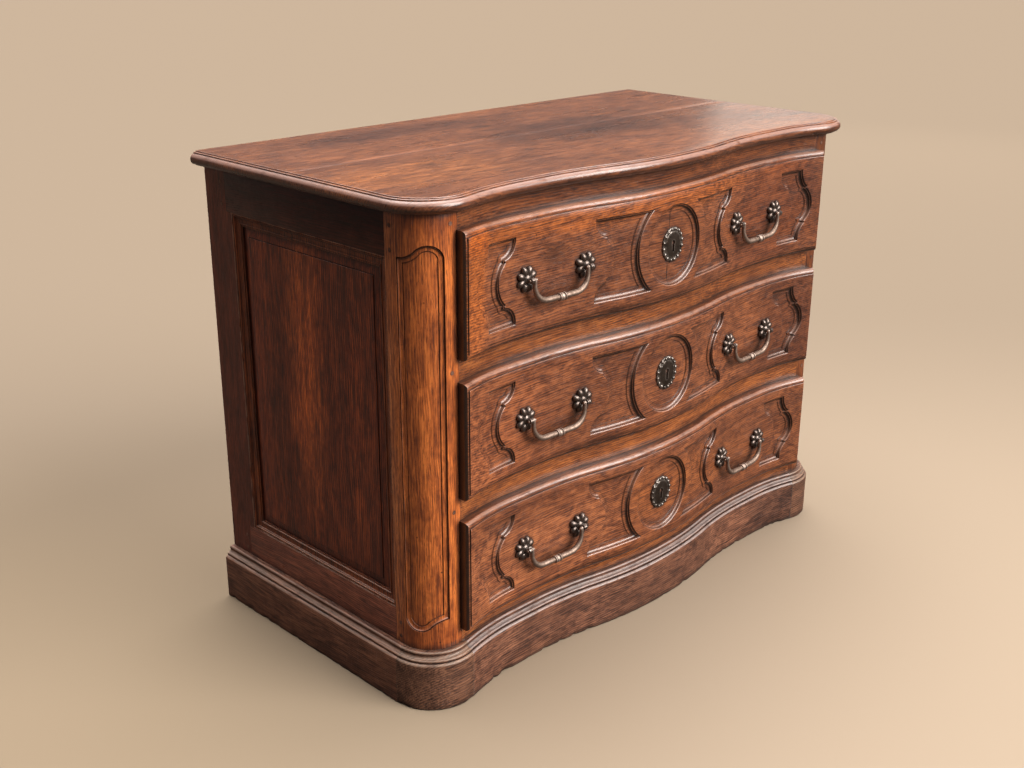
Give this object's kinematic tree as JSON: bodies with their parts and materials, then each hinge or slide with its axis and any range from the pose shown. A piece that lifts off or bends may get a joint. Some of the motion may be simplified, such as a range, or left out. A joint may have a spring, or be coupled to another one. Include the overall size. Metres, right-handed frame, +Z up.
{
  "type": "chest of drawers",
  "caption": "Chest of long drawers with a crossbow-curved front, rounded corner posts, carved drawer fronts, moulded top and plinth, swinging bail handles and sliding lock bolts.",
  "frame": {"origin": "on the floor, under the middle of the top's outline", "axes": "+X to the right along the front as seen from the front, +Y to the back, +Z up"},
  "size_m": [1.266, 0.6485, 0.932],
  "materials": {
    "top_wood": "waxed walnut-brown, worn and glossy",
    "frame_wood": "waxed oak, warm brown",
    "front_wood": "waxed oak, carved, warm reddish brown",
    "panel_wood": "waxed oak, dark brown",
    "plinth_wood": "worn dark brown",
    "inner_wood": "bare, dusty, unpolished",
    "peg_wood": "end grain, dark",
    "handle_iron": "dark, bright where it is rubbed",
    "lock_iron": "forged, dark"
  },
  "bodies": {
    "carcass": {"top_board_front": "top_wood", "top_board_back": "top_wood", "plinth_front": "plinth_wood", "plinth_corner_left": "plinth_wood", "plinth_corner_right": "plinth_wood", "plinth_side_left": "plinth_wood", "plinth_side_right": "plinth_wood", "front_top_rail": "frame_wood", "front_divider_upper": "frame_wood", "front_divider_lower": "frame_wood", "front_bottom_rail": "frame_wood", "side_rail_top_left": "frame_wood", "side_rail_top_right": "frame_wood", "side_rail_bottom_left": "frame_wood", "side_rail_bottom_right": "frame_wood", "front_post_left": "frame_wood", "front_post_right": "frame_wood", "rear_post_left": "frame_wood", "rear_post_right": "frame_wood", "side_moulding_left": "panel_wood", "side_moulding_right": "panel_wood", "side_panel_left": "panel_wood", "side_panel_right": "panel_wood", "frame_pegs": "peg_wood", "drawer_runners": "inner_wood", "bottom_board": "inner_wood", "back_boards": "inner_wood"},
    "drawer_upper": {"drawer_upper_front": "front_wood", "drawer_upper_side_left": "inner_wood", "drawer_upper_side_right": "inner_wood", "drawer_upper_back": "inner_wood", "drawer_upper_bottom": "inner_wood", "drawer_upper_escutcheon": "handle_iron", "drawer_upper_lock": "lock_iron", "drawer_upper_handle_mounts": "handle_iron"},
    "drawer_upper_bolt": {"drawer_upper_lock_bolt": "lock_iron"},
    "drawer_upper_bail_left": {"drawer_upper_bail_left": "handle_iron"},
    "drawer_upper_bail_right": {"drawer_upper_bail_right": "handle_iron"},
    "drawer_middle": {"drawer_middle_front": "front_wood", "drawer_middle_side_left": "inner_wood", "drawer_middle_side_right": "inner_wood", "drawer_middle_back": "inner_wood", "drawer_middle_bottom": "inner_wood", "drawer_middle_escutcheon": "handle_iron", "drawer_middle_lock": "lock_iron", "drawer_middle_handle_mounts": "handle_iron"},
    "drawer_middle_bolt": {"drawer_middle_lock_bolt": "lock_iron"},
    "drawer_middle_bail_left": {"drawer_middle_bail_left": "handle_iron"},
    "drawer_middle_bail_right": {"drawer_middle_bail_right": "handle_iron"},
    "drawer_lower": {"drawer_lower_front": "front_wood", "drawer_lower_side_left": "inner_wood", "drawer_lower_side_right": "inner_wood", "drawer_lower_back": "inner_wood", "drawer_lower_bottom": "inner_wood", "drawer_lower_escutcheon": "handle_iron", "drawer_lower_lock": "lock_iron", "drawer_lower_handle_mounts": "handle_iron"},
    "drawer_lower_bolt": {"drawer_lower_lock_bolt": "lock_iron"},
    "drawer_lower_bail_left": {"drawer_lower_bail_left": "handle_iron"},
    "drawer_lower_bail_right": {"drawer_lower_bail_right": "handle_iron"}
  },
  "joints": [
    {"name": "drawer_upper_slide", "type": "slide", "parent": "carcass", "child": "drawer_upper", "axis": [0, -1, 0], "range_m": [0, 0.38]},
    {"name": "drawer_upper_bolt_throw", "type": "slide", "parent": "drawer_upper", "child": "drawer_upper_bolt", "axis": [0, 0, 1], "range_m": [0, 0.009]},
    {"name": "drawer_upper_bail_left_swing", "type": "hinge", "parent": "drawer_upper", "child": "drawer_upper_bail_left", "pos_m": [-0.2998, -0.30632, 0.7595], "axis": [-0.9987, 0.0502, 0], "range_deg": [-12, 150]},
    {"name": "drawer_upper_bail_right_swing", "type": "hinge", "parent": "drawer_upper", "child": "drawer_upper_bail_right", "pos_m": [0.2998, -0.30632, 0.7595], "axis": [-0.9987, -0.0502, 0], "range_deg": [-12, 150]},
    {"name": "drawer_middle_slide", "type": "slide", "parent": "carcass", "child": "drawer_middle", "axis": [0, -1, 0], "range_m": [0, 0.38]},
    {"name": "drawer_middle_bolt_throw", "type": "slide", "parent": "drawer_middle", "child": "drawer_middle_bolt", "axis": [0, 0, 1], "range_m": [0, 0.009]},
    {"name": "drawer_middle_bail_left_swing", "type": "hinge", "parent": "drawer_middle", "child": "drawer_middle_bail_left", "pos_m": [-0.2998, -0.30632, 0.50187], "axis": [-0.9987, 0.0502, 0], "range_deg": [-12, 150]},
    {"name": "drawer_middle_bail_right_swing", "type": "hinge", "parent": "drawer_middle", "child": "drawer_middle_bail_right", "pos_m": [0.2998, -0.30632, 0.50187], "axis": [-0.9987, -0.0502, 0], "range_deg": [-12, 150]},
    {"name": "drawer_lower_slide", "type": "slide", "parent": "carcass", "child": "drawer_lower", "axis": [0, -1, 0], "range_m": [0, 0.38]},
    {"name": "drawer_lower_bolt_throw", "type": "slide", "parent": "drawer_lower", "child": "drawer_lower_bolt", "axis": [0, 0, 1], "range_m": [0, 0.009]},
    {"name": "drawer_lower_bail_left_swing", "type": "hinge", "parent": "drawer_lower", "child": "drawer_lower_bail_left", "pos_m": [-0.2998, -0.30632, 0.24463], "axis": [-0.9987, 0.0502, 0], "range_deg": [-12, 150]},
    {"name": "drawer_lower_bail_right_swing", "type": "hinge", "parent": "drawer_lower", "child": "drawer_lower_bail_right", "pos_m": [0.2998, -0.30632, 0.24463], "axis": [-0.9987, -0.0502, 0], "range_deg": [-12, 150]}
  ]
}
